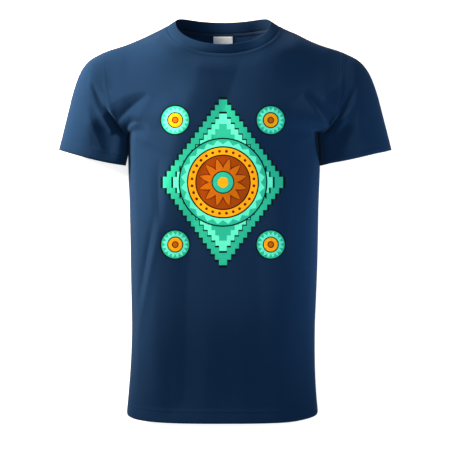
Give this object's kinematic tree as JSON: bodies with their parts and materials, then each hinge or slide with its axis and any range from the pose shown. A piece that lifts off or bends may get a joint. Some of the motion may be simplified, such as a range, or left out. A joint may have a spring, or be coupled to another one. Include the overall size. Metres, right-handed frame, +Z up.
{
  "type": "t-shirt",
  "caption": "Short-sleeved crew-neck T-shirt of cotton jersey with a ribbed collar, lying on its back, its body and sleeves still rounded as worn.",
  "frame": {"origin": "on the floor under the middle of the shirt's bounding box", "axes": "+Y towards the neck, +Z up out of the shirt's front, +X towards the wearer's left sleeve"},
  "size_m": [0.604, 0.732, 0.1042],
  "materials": {
    "jersey": "matte knit",
    "rib": "matte rib knit",
    "tape": "matte twill",
    "label": "smooth woven"
  },
  "bodies": {
    "root": {"front_panel": "jersey", "back_panel": "jersey", "left_sleeve": "jersey", "right_sleeve": "jersey", "rib_collar": "rib", "neck_tape": "tape", "neck_label": "label"}
  },
  "joints": []
}
